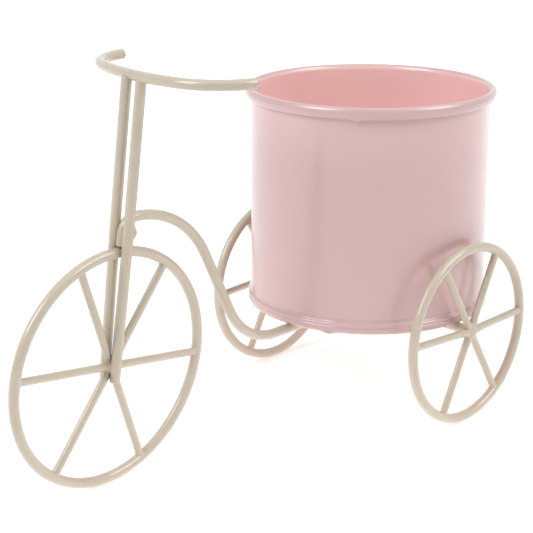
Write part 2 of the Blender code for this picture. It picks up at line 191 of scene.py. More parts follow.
class WireBender:
    """Draws out a round wire and bends it step by step, as a bending jig does."""

    QUAD = 4
    ROUNDING_STEPS = 5

    def __init__(self, name: str, radius: float, start: Vector, heading: Vector, sides: int = 28) -> None:
        """Lays down the wire's round end.

        Args:
            name: The piece's name.
            radius: The wire's radius.
            start: The middle of its first end.
            heading: The way it is drawn out.
            sides: Faces round the wire.
        """
        select_nothing()
        turn = heading.to_track_quat("Z", "Y").to_euler()
        bpy.ops.mesh.primitive_circle_add(
            vertices=sides, radius=radius, fill_type="NGON", location=start, rotation=turn
        )
        self.piece = begin(name)
        bpy.ops.object.mode_set(mode="EDIT")
        bpy.ops.mesh.select_all(action="SELECT")
        self.point = Vector(start)
        self.heading = Vector(heading).normalized()

    def straight(self, length: float, parts: int = 1) -> "WireBender":
        """Draws the wire straight on.

        Args:
            length: How far.
            parts: In how many lengths.

        Returns:
            This bender, for the next step.
        """
        for _ in range(parts):
            step = self.heading * (length / parts)
            bpy.ops.mesh.extrude_region_move(TRANSFORM_OT_translate={"value": step})
            self.point += step
        return self

    def bend(self, radius: float, angle: float, axis: Vector, finest: float = 4.0) -> "WireBender":
        """Bends the wire round an axis.

        Args:
            radius: Radius of the wire's centre line in the bend.
            angle: Degrees, right-handed about the axis.
            axis: The axis that it turns about.
            finest: Degrees for each step.

        Returns:
            This bender, for the next step.
        """
        inward = axis.cross(self.heading) * math.copysign(1.0, angle)
        centre = self.point + inward * radius
        steps = max(2, round(abs(angle) / finest))
        turn = math.radians(angle)
        bpy.ops.mesh.spin(steps=steps, angle=-turn, center=centre, axis=axis, use_auto_merge=False)
        spun = Matrix.Rotation(turn, 3, axis)
        self.point = centre + spun @ (self.point - centre)
        self.heading = spun @ self.heading
        return self

    def cut_off(self, round_off: float = 0.0) -> Piece:
        """Ends the wire and rounds the edges of both cut ends.

        Args:
            round_off: Radius of the rounding, or zero for sharp cuts.

        Returns:
            The wire as one piece.
        """
        close_mesh()
        close_up(self.piece, CUT)
        if round_off > 0.0:
            open_mesh(self.piece)
            bpy.ops.mesh.select_all(action="DESELECT")
            bpy.ops.mesh.select_mode(type="FACE")
            close_mesh()
            for face in self.piece.data.polygons:
                face.select = len(face.vertices) > self.QUAD
            bpy.ops.object.mode_set(mode="EDIT")
            bpy.ops.mesh.region_to_loop()
            bpy.ops.mesh.bevel(offset=round_off, segments=self.ROUNDING_STEPS, clamp_overlap=True)
            close_mesh()
            close_up(self.piece, ROUNDED)
        return self.piece


# Shared layout


@dataclass
class Layout:
    """Places that several sub-assemblies share, read from the frame or set by the fork's lean."""

    wire: float = 0.0020
    spoke: float = 0.0015
    sink: float = 0.0008
    seam_radius: float = 0.0514
    rear_ring: float = 0.0363
    front_ring: float = 0.0450
    lean: float = math.radians(3.77)
    turn: float = math.radians(1.04)
    rake: float = math.radians(4.75)
    stem_rake: float = math.radians(10.0)
    rod_end_above_wheel: float = 0.0008
    stem_length: float = 0.0043
    head_bend: float = 0.0060
    arch: float = 0.0392
    slope: float = math.radians(63.6)
    foot_bend: float = 0.0282
    foot_ahead_of_seam: float = 0.0069
    head_above_rod_end: float = 0.0041
    fork_ahead: float = 0.00055
    bar_above_crest: float = 0.0522

    def axle(self) -> Vector:
        """The middle of the rear axle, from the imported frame."""
        low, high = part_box("rear_axle")
        return (low + high) / 2.0

    def rear_height(self) -> float:
        """Height of the rear wheels' centres."""
        return self.rear_ring + self.wire

    def front_height(self) -> float:
        """Height of the front wheel's centre, which leans."""
        return self.front_ring * math.cos(self.lean) + self.wire

    def rod_end_height(self) -> float:
        """Height of the frame rod's cut end over the front wheel."""
        wheel_top = self.front_height() + self.front_ring * math.cos(self.lean) + self.wire
        return wheel_top + self.rod_end_above_wheel

    def crest_height(self) -> float:
        """Height of the frame rod's crest."""
        rise = self.head_bend * (1.0 - math.sin(self.stem_rake))
        return self.rod_end_height() + self.stem_length * math.cos(self.stem_rake) + rise

    def bar_height(self) -> float:
        """Height of the handlebar's centre line."""
        return self.crest_height() + self.bar_above_crest

    def slope_length(self) -> float:
        """Length of the frame rod's straight slope."""
        bends = (self.arch + self.foot_bend) * (1.0 - math.cos(self.slope))
        return (self.crest_height() - self.axle().z - bends) / math.sin(self.slope)

    def rod_end_ahead(self) -> float:
        """How far the frame rod's cut end lies ahead of the axle.

        Returns:
            The way along +X from the axle's middle.
        """
        slope_run = self.slope_length() * math.cos(self.slope)
        across = (self.arch + self.foot_bend) * math.sin(self.slope) + slope_run
        head = self.head_bend * math.cos(self.stem_rake) + self.stem_length * math.sin(self.stem_rake)
        return self.seam_radius + self.foot_ahead_of_seam + across + head

    def head(self) -> Vector:
        """The joint of the fork legs and the stem, on the stem's centre line.

        Returns:
            The joint's middle.
        """
        back = self.head_above_rod_end * math.tan(self.stem_rake)
        height = self.rod_end_height() + self.head_above_rod_end
        return Vector((self.axle().x + self.rod_end_ahead() - back, 0.0, height))

    def front_frame(self) -> Matrix:
        """Place and lean of the fork and front wheel, which are built upright."""
        tilt = Euler((-self.lean, 0.0, self.turn)).to_matrix().to_4x4()
        return Matrix.Translation(self.head()) @ tilt

    def fork_point(self, along: float, side: float) -> Vector:
        """A point on the upright fork, by its way up from the head joint and to the left."""
        return Vector((self.fork_ahead - along * math.sin(self.rake), side, along * math.cos(self.rake)))

    def fork_length_to(self, height: float) -> float:
        """How far up the fork from the head joint a height above the ground lies."""
        return (height - self.head().z) / (math.cos(self.lean) * math.cos(self.rake))

    def hub_along(self) -> float:
        """How far along the fork the front wheel's centre lies."""
        return self.fork_length_to(self.front_height())


def in_wheel_plane(angle: float, length: float = 1.0) -> Vector:
    """A way in a wheel's upright plane, at an angle in degrees above level."""
    turn = math.radians(angle)
    return Vector((length * math.cos(turn), 0.0, length * math.sin(turn)))


# Paint


class NodeBoard:
    """Lays out shader nodes in a tree and links them."""

    COLUMNS = 6
    COLUMN_WIDTH = 220
    ROW_HEIGHT = 260

    # The sockets that a Mix node uses for colours
    COLOUR_SHARE, COLOUR_FIRST, COLOUR_SECOND, COLOUR_OUT = 0, 6, 7, 2

    def __init__(self, tree: bpy.types.NodeTree) -> None:
        """Takes a material's or a group's node tree to work on."""
        self.tree = tree
        self.count = 0

    def feed(self, node: bpy.types.Node, inputs: dict[str | int, Feed]) -> None:
        """Links each named input of a node to a socket, or sets it to a number, vector or colour.

        Args:
            node: The node.
            inputs: What feeds each input.
        """
        for name, value in inputs.items():
            if isinstance(value, bpy.types.NodeSocket):
                self.tree.links.new(value, node.inputs[name])
            else:
                node.inputs[name].default_value = (*value, 1.0) if isinstance(value, tuple) else value

    def add(self, kind: str, inputs: dict[str | int, Feed], **settings: object) -> bpy.types.NodeOutputs:
        """Adds a node and feeds it.

        Args:
            kind: The node's type name without its ShaderNode prefix.
            inputs: What feeds each input.
            **settings: Properties to set on it.

        Returns:
            Its outputs.
        """
        node = self.tree.nodes.new("ShaderNode" + kind)
        row, column = divmod(self.count, self.COLUMNS)
        node.location = (column * self.COLUMN_WIDTH, -row * self.ROW_HEIGHT)
        self.count += 1
        for key, value in settings.items():
            setattr(node, key, value)
        self.feed(node, inputs)
        return node.outputs

    def noise(self, where: Socket, scale: Feed, detail: float = 3.0, rough: float = 0.6) -> Socket:
        """A noise pattern, from 0 to 1."""
        inputs = {"Vector": where, "Scale": scale, "Detail": detail, "Roughness": rough}
        return self.add("TexNoise", inputs)["Fac"]

    def spread(self, value: Socket, low: float, high: float, to_low: float, to_high: float) -> Socket:
        """A value mapped from one range to another and held at its ends."""
        ends = {"From Min": low, "From Max": high, "To Min": to_low, "To Max": to_high}
        return self.add("MapRange", {"Value": value, **ends})["Result"]

    def combine(self, operation: str, first: Socket, second: Socket) -> Socket:
        """One value worked out of two."""
        return self.add("Math", {0: first, 1: second}, operation=operation)[0]

    def measure(self, operation: str, vector: Socket, other: Vector = Vector()) -> Socket:
        """A measure of a vector, by itself or against a fixed one."""
        return self.add("VectorMath", {0: vector, 1: other}, operation=operation)["Value"]

    def mix_values(self, share: Socket, first: Socket, second: Feed) -> Socket:
        """Two values mixed, by the share of the second."""
        return self.add("Mix", {"Factor": share, "A": first, "B": second}, data_type="FLOAT")["Result"]

    def mix_colours(self, share: Socket, first: Feed, second: Tone) -> Socket:
        """Two colours mixed, by the share of the second."""
        inputs = {self.COLOUR_SHARE: share, self.COLOUR_FIRST: first, self.COLOUR_SECOND: second}
        return self.add("Mix", inputs, data_type="RGBA")[self.COLOUR_OUT]


@dataclass(frozen=True)
class Relief:
    """One layer of unevenness in a sprayed coat, whose strength each paint sets."""

    label: str
    scale: float
    rough: float
    depth: float


SLOW_WAVES = Relief("Waves", scale=95.0, rough=0.45, depth=0.0004)
ORANGE_PEEL = Relief("Peel", scale=1400.0, rough=0.5, depth=0.00004)


def paint_skin_group() -> bpy.types.NodeTree:
    """The skin of a sprayed coat: a fine orange peel over slow waves, and slow clouds of tone.

    Returns:
        A node group with Vector, Peel, Waves and Cloud Scale inputs, and Normal and Cloud outputs.
    """
    name = "sprayed_skin"
    if name in bpy.data.node_groups:
        return bpy.data.node_groups[name]
    tree = bpy.data.node_groups.new(name, "ShaderNodeTree")
    for label, way, kind in (
        ("Vector", "INPUT", "Vector"), ("Peel", "INPUT", "Float"), ("Waves", "INPUT", "Float"),
        ("Cloud Scale", "INPUT", "Float"), ("Normal", "OUTPUT", "Vector"), ("Cloud", "OUTPUT", "Float"),
    ):
        tree.interface.new_socket(label, in_out=way, socket_type="NodeSocket" + kind)
    board = NodeBoard(tree)
    given = tree.nodes.new("NodeGroupInput").outputs
    where = given["Vector"]
    normal = {}
    for layer in (SLOW_WAVES, ORANGE_PEEL):
        height = board.noise(where, layer.scale, detail=2.0, rough=layer.rough)
        inputs = {"Strength": given[layer.label], "Distance": layer.depth, "Height": height, **normal}
        normal = {"Normal": board.add("Bump", inputs)["Normal"]}
    clouds = board.noise(where, given["Cloud Scale"], rough=0.5)
    board.feed(tree.nodes.new("NodeGroupOutput"), {"Cloud": clouds, **normal})
    return tree


@dataclass(frozen=True)
class PaintedInnerLight:
    """Painted light: a lighter, warmer tone inside an upright round wall, for the brighter light and pink
    inter-reflection inside it.
    """

    colour: Tone
    axis: Vector
    radius: float
    fade: float

    def share(self, board: NodeBoard, place: Socket) -> Socket:
        """Finds the painted inner light's share of the tone, which falls from 1 to 0 through the wall.

        Args:
            board: The material's node board.
            place: Object coordinates.

        Returns:
            The share.
        """
        from_axis = {"Location": Vector((-self.axis.x, -self.axis.y, 0.0)), "Scale": FORWARD + LEFT}
        across = board.add("Mapping", {"Vector": place, **from_axis})["Vector"]
        return board.spread(board.measure("LENGTH", across), self.radius, self.radius + self.fade, 1.0, 0.0)


@dataclass(frozen=True)
class TintAndShadeMark:
    """A coloured mark in the coat, strongest at its middle: painted shade where wires meet, and the grey tint
    of a paint run on the pot.
    """

    place: Vector
    reach: float
    strength: float
    # Brownish painted shade, for the crevices where wires meet at joints
    colour: Tone = (0.50, 0.40, 0.22)
    full_share: float = 0.3
    patch_scale: float = 900.0
    patch_low: float = 0.35
    patch_high: float = 0.60
    thin_patch: float = 0.35

    def share(self, board: NodeBoard, place: Socket) -> Socket:
        """Finds the mark's share of the tone, in uneven patches.

        Args:
            board: The material's node board.
            place: Object coordinates.

        Returns:
            The share.
        """
        away = board.measure("DISTANCE", place, self.place)
        near = board.spread(away, self.reach * self.full_share, self.reach, self.strength, 0.0)
        noise = board.noise(place, self.patch_scale)
        patches = board.spread(noise, self.patch_low, self.patch_high, self.thin_patch, 1.0)
        return board.combine("MULTIPLY", near, patches)


@dataclass(frozen=True)
class Polish:
    """The band below a height where the coat draws smooth over the folded seam."""

    top: float
    fade: float
    gloss: float

    def share(self, board: NodeBoard, place: Socket) -> Socket:
        """The band's share of the gloss, from Object coordinates."""
        height = board.add("SeparateXYZ", {"Vector": place})["Z"]
        return board.spread(height, self.top, self.top + self.fade, 1.0, 0.0)


@dataclass(frozen=True)
class Enamel:
    """A sprayed enamel coat on steel, with its own tones, gloss and skin."""

    name: str
    colour: Tone
    second: Tone
    gloss_low: float
    gloss_high: float
    coat_roughness: float
    peel: float
    waves: float
    cloud_scale: float
    coat: float = 1.0
    gloss_scale: float = 60.0
    noise_low: float = 0.3
    noise_high: float = 0.7
    # Painted light: an optional lighter, warmer tone inside a round wall
    painted_inner_light: PaintedInnerLight | None = None
    polish: Polish | None = None

    def mix(self, *marks: TintAndShadeMark) -> Paint:
        """Builds the coat's material.

        Args:
            *marks: Marks laid over the tone: painted shade where wires meet, and the tint of a paint run.

        Returns:
            The material.
        """
        made = bpy.data.materials.new(self.name)
        made.use_nodes = True
        made.diffuse_color = (*self.colour, 1.0)
        board = NodeBoard(made.node_tree)
        place = board.add("TexCoord", {})["Object"]
        skin = board.add("Group", {}, node_tree=paint_skin_group())
        inputs = {"Vector": place, "Peel": self.peel, "Waves": self.waves, "Cloud Scale": self.cloud_scale}
        board.feed(skin["Cloud"].node, inputs)
        cloud = board.spread(skin["Cloud"], self.noise_low, self.noise_high, 0.0, 1.0)
        tone = board.mix_colours(cloud, self.colour, self.second)
        # First the painted light of the inside tone, then the marks: painted shade at wire joints and the
        # tint of a paint run
        for layer in (self.painted_inner_light, *marks):
            if layer is not None:
                tone = board.mix_colours(layer.share(board, place), tone, layer.colour)
        uneven = board.noise(place, self.gloss_scale)
        gloss = board.spread(uneven, self.noise_low, self.noise_high, self.gloss_low, self.gloss_high)
        if self.polish is not None:
            gloss = board.mix_values(self.polish.share(board, place), gloss, self.polish.gloss)
        board.feed(made.node_tree.nodes["Principled BSDF"], {
            "Base Color": tone, "Roughness": gloss, "Normal": skin["Normal"],
            "Coat Weight": self.coat, "Coat Roughness": self.coat_roughness,
        })
        return made


PINK_ENAMEL = Enamel(
    name="pink_gloss_enamel",
    colour=(0.625, 0.412, 0.402),
    second=(0.612, 0.400, 0.390),
    gloss_low=0.32,
    gloss_high=0.42,
    coat_roughness=0.21,
    peel=0.10,
    waves=0.03,
    cloud_scale=22.0,
)
CREAM_ENAMEL = Enamel(
    name="cream_satin_enamel",
    colour=(0.564, 0.484, 0.379),
    second=(0.542, 0.458, 0.347),
    gloss_low=0.36,
    gloss_high=0.50,
    coat_roughness=0.14,
    peel=0.35,
    waves=0.12,
    cloud_scale=140.0,
)


# Pot


def arc(centre: Pair, half: Pair, start: float, end: float, parts: int) -> Outline:
    """Points on an ellipse's arc.

    Args:
        centre: Its middle, as a radius and a height.
        half: Half its width and half its height.
        start: First angle in degrees.
        end: Last angle in degrees.
        parts: How many steps.

    Returns:
        The points, both ends among them.
    """
    points = []
    for step in range(parts + 1):
        angle = math.radians(start + (end - start) * step / parts)
        points.append((centre[0] + half[0] * math.cos(angle), centre[1] + half[1] * math.sin(angle)))
    return points


def turn_rings(name: str, outline: Outline, centre: Vector, steps: int, ends_filled: bool) -> Piece:
    """Turns a section about an upright axis, ring by ring, by extruding and scaling a circle.

    Args:
        name: The piece's name.
        outline: The section, as radii and heights.
        centre: A point on the axis.
        steps: Faces round the axis.
        ends_filled: Whether both ends close with a flat face, or else join each other.

    Returns:
        The turned piece.
    """
    select_nothing()
    first, last = outline[0], outline[-1]
    middle = Vector((centre.x, centre.y, 0.0))
    bpy.ops.mesh.primitive_circle_add(
        vertices=steps, radius=first[0], fill_type="NGON" if ends_filled else "NOTHING",
        location=middle + UP * first[1],
    )
    piece = begin(name)
    bpy.ops.object.mode_set(mode="EDIT")
    bpy.ops.mesh.select_all(action="SELECT")
    extrude = bpy.ops.mesh.extrude_region_move if ends_filled else bpy.ops.mesh.extrude_edges_move
    for (old, below), (new, above) in zip(outline, outline[1:]):
        extrude(TRANSFORM_OT_translate={"value": UP * (above - below)})
        share = new / old
        bpy.ops.transform.resize(value=(share, share, 1.0), center_override=middle + UP * above)
    if not ends_filled:

        def on_either_end(place: Vector) -> bool:
            """Whether a vertex lies on the first or the last ring."""
            out = math.hypot(place.x - middle.x, place.y - middle.y)
            return any(abs(out - r) < TOUCHING and abs(place.z - z) < TOUCHING for r, z in (first, last))

        pick_vertices(piece, on_either_end)
        bpy.ops.mesh.select_mode(type="EDGE")
        bpy.ops.mesh.bridge_edge_loops()
    close_mesh()
    close_up(piece, CUT)
    return piece


@dataclass
class Pot:
    """The pot: a thin wall with a rolled rim and a folded seam, and a pressed base inside it."""

    layout: Layout
    height: float = 0.0930
    foot: float = 0.0502
    neck: float = 0.0498
    sheet: float = 0.0006
    edge_break: float = 0.0003
    wall_levels: tuple[float, ...] = (0.10, 0.25, 0.40, 0.55, 0.70, 0.85, 0.96)
    under_lip_level: float = 0.995
    rim: float = 0.0525
    roll_height: float = 0.0048
    roll_end: float = -118.0
    roll_steps: int = 26
    lip_tuck: float = 0.00006
    lip_turn: float = 0.00025
    lip_rise: float = 0.0006
    sag_azimuth: float = 34.5
    sag_inset: float = 0.0012
    sag_depth: float = 0.0008
    sag_spread: float = 0.0032
    drip_azimuth: float = 22.4
    drip_depth: float = 0.0008
    drip_spread: float = 0.0034
    drip_tint_reach: float = 0.0028
    drip_tint: Tone = (0.35, 0.34, 0.29)
    drag_hold: float = 0.0004
    lap_azimuth: float = 180.0
    lap_half_angle: float = 3.3
    lap_step: float = 0.00015
    lap_above_fold: float = 0.0004
    seam: float = 0.0514
    seam_height: float = 0.0053
    shoulder_round: float = 0.0011
    shoulder_share: float = 0.86
    shoulder_steps: tuple[int, int] = (7, 6)
    groove_below_shoulder: float = 0.0006
    groove: tuple[Pair, ...] = (
        (0.00002, 0.00030), (0.00010, 0.00016), (0.00022, 0.0), (0.00010, -0.00016), (0.0, -0.00034)
    )
    hem: Pair = (0.0011, 0.0012)
    hem_steps: int = 8
    fold_width: float = 0.0032
    fold: float = 0.0008
    fold_steps: int = 6
    joint_gap: float = 0.0003
    steps: int = 200
    base_sheet: float = 0.0008
    base_bend: float = 0.0012
    base_bend_steps: int = 5
    base_flange: float = 0.0028
    base_edge_break: float = 0.0002
    base_floor_inset: float = 0.004
    base_middle: float = 0.0010
    base_steps: int = 128
    # Painted light: a lighter, warmer inside tone for the brighter light and pink inter-reflection inside the
    # pot
    inner_light_tone: Tone = (0.970, 0.655, 0.632)
    inner_light_radius: float = 0.0493
    inner_light_fade: float = 0.0006
    polish_above_seam: float = 0.0003
    polish_fade: float = 0.0008
    polish_gloss: float = 0.10

    def bottom(self) -> float:
        """Height of the pot's lower edge, on top of the axle and the frame rod."""
        return self.layout.axle().z + self.layout.wire + self.joint_gap

    def wall_outline(self) -> Outline:
        """The wall's section: inner wall, rolled rim, outer wall, seam band and inward fold.

        Returns:
            The section's points.
        """
        low = self.bottom()
        inner_foot = self.foot - self.sheet
        inner_neck = self.neck - self.sheet
        points = [
            (inner_foot - self.edge_break, low + self.fold), (inner_foot, low + self.fold + self.edge_break)
        ]
        for share in self.wall_levels:
            out = inner_foot + (inner_neck - inner_foot) * share
            points.append((out, low + (self.height - self.roll_height) * share))
        half = ((self.rim - inner_neck) / 2.0, self.roll_height / 2.0)
        roll = (self.rim - half[0], low + self.height - half[1])
        points += arc(roll, half, 180.0, self.roll_end, self.roll_steps)
        lip_out, lip_low = points[-1]
        under_roll = lip_low + self.lip_rise
        points.append((lip_out - self.lip_tuck, lip_low + self.lip_turn))
        points += [(lip_out, under_roll), (self.neck, under_roll)]
        band = low + self.seam_height
        for share in (self.under_lip_level, *reversed(self.wall_levels)):
            out = self.foot + (self.neck - self.foot) * share
            points.append((out, band + (lip_low - band) * share))
        points += self.seam_outline(low)
        half_fold = self.fold / 2.0
        fold = (inner_foot - self.fold_width + half_fold, low + half_fold)
        return points + arc(fold, (half_fold, half_fold), 270.0, 90.0, self.fold_steps)

    def seam_outline(self, low: float) -> Outline:
        """The folded seam band at the foot, from its shoulder down to its lower edge.

        Args:
            low: Height of the pot's lower edge.

        Returns:
            The section's points.
        """
        top = low + self.seam_height
        soft = self.shoulder_round
        tilt = math.degrees(math.acos(1.0 - (self.seam - self.foot) / (2.0 * soft)))
        drop = 2.0 * soft * math.sin(math.radians(tilt))
        over, under = self.shoulder_steps
        points = arc((self.foot + soft, top), (soft, soft), 180.0, 180.0 + tilt, over)
        points += arc((self.seam - soft, top - drop), (soft, soft), tilt * self.shoulder_share, 0.0, under)
        groove = top - drop - self.groove_below_shoulder
        points += [(self.seam - deep, groove + rise) for deep, rise in self.groove]
        hem = (self.seam - self.hem[0], low + self.hem[1])
        return points + arc(hem, self.hem, 0.0, -90.0, self.hem_steps)

    def place_on(self, azimuth: float, radius: float, height: float) -> Vector:
        """A point at an azimuth, a radius and a height about the pot's axis."""
        turn = math.radians(azimuth)
        return Vector((self.layout.axle().x + radius * math.cos(turn), radius * math.sin(turn), height))

    def azimuth_of(self, place: Vector) -> float:
        """Degrees round the pot's axis, from 0 to 360."""
        return math.degrees(math.atan2(place.y, place.x - self.layout.axle().x)) % 360.0

    def drag_down(self, piece: Piece, low_point: Vector, depth: float, spread: float) -> None:
        """Draws the metal round a point down with a soft fall-off, as a sag or a run of paint.

        Args:
            piece: The wall.
            low_point: The point that goes down most.
            depth: How far it goes down.
            spread: How far the pull reaches.
        """
        open_mesh(piece)
        held = min((vertex.co - low_point).length for vertex in piece.data.vertices) + self.drag_hold
        pick_vertices(piece, lambda place: (place - low_point).length < held)
        bpy.ops.transform.translate(
            value=UP * -depth, use_proportional_edit=True, proportional_edit_falloff="SMOOTH",
            proportional_size=spread, use_proportional_connected=True,
        )
        close_mesh()

    def lay_lap(self, piece: Piece) -> None:
        """Raises the side lap inside the wall, where the sheet's two ends meet.

        Args:
            piece: The wall.
        """
        low = self.bottom() + self.fold + self.lap_above_fold
        high = self.bottom() + self.height - self.roll_height
        inside = self.neck - self.sheet / 4.0
        axis = self.layout.axle()

        def on_lap(place: Vector) -> bool:
            """Whether a vertex lies on the inner wall within the lap."""
            within = abs(self.azimuth_of(place) - self.lap_azimuth) < self.lap_half_angle
            return within and low < place.z < high and math.hypot(place.x - axis.x, place.y) < inside

        open_mesh(piece)
        pick_vertices(piece, on_lap)
        inward = self.place_on(self.lap_azimuth, -self.lap_step, 0.0) - FORWARD * axis.x
        bpy.ops.transform.translate(value=inward)
        close_mesh()

    def build_wall(self) -> Piece:
        """Turns the wall, raises its side lap, and lets the roll sag and the paint run a little.

        Returns:
            The wall.
        """
        piece = turn_rings("rolled_pot_wall", self.wall_outline(), self.layout.axle(), self.steps, False)
        self.lay_lap(piece)
        under_roll = self.bottom() + self.height - self.roll_height
        sag = self.place_on(self.sag_azimuth, self.rim - self.sag_inset, under_roll)
        self.drag_down(piece, sag, self.sag_depth, self.sag_spread)
        run = self.place_on(self.drip_azimuth, self.foot, self.bottom())
        self.drag_down(piece, run, self.drip_depth, self.drip_spread)
        close_up(piece, CUT)
        return piece

    def build_base(self) -> Piece:
        """Turns the pressed base, with its flange turned up inside the wall.

        Returns:
            The base.
        """
        under = self.bottom() + self.fold + self.joint_gap
        outer = self.foot - self.sheet - self.joint_gap
        over, inner = under + self.base_sheet, outer - self.base_sheet
        bend, edge = self.base_bend, self.base_edge_break
        rim = under + self.base_flange
        outline = [(self.base_middle, over), (inner - bend - self.base_floor_inset, over)]
        outline += arc((inner - bend, over + bend), (bend, bend), 270.0, 360.0, self.base_bend_steps)
        outline += [(inner, rim - edge), (inner + edge, rim), (outer - edge, rim), (outer, rim - edge)]
        outline += arc((outer - bend, under + bend), (bend, bend), 0.0, -90.0, self.base_bend_steps)
        outline += [(outer - bend - self.base_floor_inset, under), (self.base_middle, under)]
        return turn_rings("pressed_pot_base", outline, self.layout.axle(), self.base_steps, True)

    def mix_paint(self) -> Paint:
        """Mixes the pot's pink, with painted light that makes its inside warmer and lighter, its smooth seam
        and the tint of the drip.

        Returns:
            The paint.
        """
        # Painted light: the inside of the wall gets a lighter, warmer tone
        painted_inner_light = PaintedInnerLight(self.inner_light_tone, self.layout.axle(), self.inner_light_radius, self.inner_light_fade)
        seam_top = self.bottom() + self.seam_height + self.polish_above_seam
        polish = Polish(seam_top, self.polish_fade, self.polish_gloss)
        run = self.place_on(self.drip_azimuth, self.foot, self.bottom() - self.drip_depth)
        tint = TintAndShadeMark(run, self.drip_tint_reach, 1.0, self.drip_tint)
        return replace(PINK_ENAMEL, painted_inner_light=painted_inner_light, polish=polish).mix(tint)

    def build(self) -> None:
        """Models and paints both pieces."""
        paint = self.mix_paint()
        put_on(self.build_wall(), Slot.POT, paint, "pot_wall")
        put_on(self.build_base(), Slot.POT, paint, "pot_base")


# Wheels


@dataclass
class Wheel:
    """A wheel: one wire bent round, one rod right through it and four half rods."""

    layout: Layout
    prefix: str
    ring: float
    place: Matrix
    crossing: Vector
    angles: tuple[float, ...]
    paint: Paint
    butt_angle: float = 228.0
    butt_swell: float = 0.07
    butt_half_width: float = 0.0016
    segments: int = 216
    wire_sides: int = 28
    rod_sides: int = 24
    deeper: float = 0.0004
    flares: tuple[Pair, ...] = ((0.0, 1.5), (0.0007, 1.28), (0.0012, 1.12), (0.0019, 1.03))
    flare_foot: float = 0.0030
    flare_across: float = 0.12

    def swell_butt(self, rim: Piece) -> None:
        """Swells the wire softly where the rim's two ends are butt-welded.

        Args:
            rim: The rim, upright about the origin, in object mode.
        """
        step = 360.0 / self.segments
        apart = self.ring * math.radians(step)
        reach = math.ceil(2.0 * self.butt_half_width / apart)
        first = round(self.butt_angle / step)
        open_mesh(rim)
        for number in range(first - reach, first + reach + 1):
            angle = number * step

            def on_ring(place: Vector) -> bool:
                """Whether a vertex lies on this ring of the wire."""
                turned = math.degrees(math.atan2(place.z, place.x)) - angle
                return abs((turned + 180.0) % 360.0 - 180.0) < step / 3.0

            away = (number - first) * apart / self.butt_half_width
            grow = 1.0 + self.butt_swell * math.exp(-away * away)
            pick_vertices(rim, on_ring)
            middle = in_wheel_plane(angle, self.ring)
            bpy.ops.transform.resize(value=(grow, grow, grow), center_override=middle)
        close_mesh()

    def build_rim(self) -> None:
        """Bends the rim and leaves a faint swelling where its ends are welded."""
        select_nothing()
        bpy.ops.mesh.primitive_torus_add(
            major_segments=self.segments, minor_segments=self.wire_sides, major_radius=self.ring,
            minor_radius=self.layout.wire, rotation=(math.pi / 2.0, 0.0, 0.0),
        )
        rim = begin(self.prefix + "_bent_rim")
        self.swell_butt(rim)
        close_up(rim, BENT)
        seat(rim, self.place)
        put_on(rim, Slot.WIRE, self.paint, self.prefix + "_wheel_rim")

    def reach(self, angle: float) -> float:
        """How far a rod goes from the crossing before its end has sunk in the rim.

        Args:
            angle: The rod's angle above level.

        Returns:
            The length.
        """
        limit = self.ring - self.layout.wire + self.layout.sink + self.deeper
        along = self.crossing.dot(in_wheel_plane(angle))
        return -along + math.sqrt(limit**2 - self.crossing.length_squared + along**2)

    def flare(self, rod: Piece, height: float, spread: float) -> None:
        """Spreads one ring of an upright rod along the rim, as weld metal does.

        Args:
            rod: The rod, standing on +Z, being edited.
            height: Height of the ring.
            spread: How much wider it gets along the rim.
        """
        across = 1.0 + (spread - 1.0) * self.flare_across
        pick_vertices(rod, lambda place: abs(place.z - height) < TOUCHING)
        bpy.ops.transform.resize(value=(spread, across, 1.0), center_override=UP * height)

    def build_rod(self, name: str, low: float, high: float, angle: float, both: bool, node: str) -> None:
        """Makes one rod with weld metal at the ends that meet the rim.

        Args:
            name: The piece's name.
            low: Where it starts, from the crossing along its direction.
            high: Where it ends, sunk in the rim.
            angle: Its angle above level in degrees.
            both: Whether its start meets the rim too.
            node: The CAD node that it stands for.
        """
        bender = WireBender(name, self.layout.spoke, UP * low, UP, self.rod_sides)
        stops = [high - depth for depth, _ in self.flares] + [high - self.flare_foot]
        if both:
            stops += [low + depth for depth, _ in self.flares[1:]]
        at = low
        for stop in sorted(stops):
            bender.straight(stop - at)
            at = stop
        rod = bender.cut_off()
        for depth, spread in self.flares:
            self.flare(rod, high - depth, spread)
            if both:
                self.flare(rod, low + depth, spread)
        close_mesh()
        close_up(rod, ROUNDED)
        turn = Matrix.Rotation(math.radians(90.0 - angle), 4, "Y")
        seat(rod, self.place @ Matrix.Translation(self.crossing) @ turn)
        put_on(rod, Slot.WIRE, self.paint, node)

    def build(self) -> None:
        """Makes the rim, the through rod and the four half rods butted on it."""
        self.build_rim()
        through = self.angles[0]
        low, high = -self.reach(through + 180.0), self.reach(through)
        self.build_rod(self.prefix + "_through_rod", low, high, through, True, self.prefix + "_through_spoke")
        for number, angle in enumerate(self.angles[1:], 1):
            start = self.layout.spoke / abs(math.sin(math.radians(angle - through)))
            name, node = f"{self.prefix}_half_rod_{number}", f"{self.prefix}_half_spoke_{number}"
            self.build_rod(name, start, self.reach(angle), angle, False, node)


# Welds

INSIDE_ROD = 0.96


def rod_stubs(angles: tuple[float, ...], length: float, radius: float, swell: float) -> tuple[Stub, ...]:
    """Tapered stubs of weld metal along a wheel's rods, swollen at the crossing, thin inside each rod."""
    ways = [in_wheel_plane(angle, length) for angle in (*angles, angles[0] + 180.0)]
    return tuple((Vector(), way, radius * swell, radius * INSIDE_ROD) for way in ways)


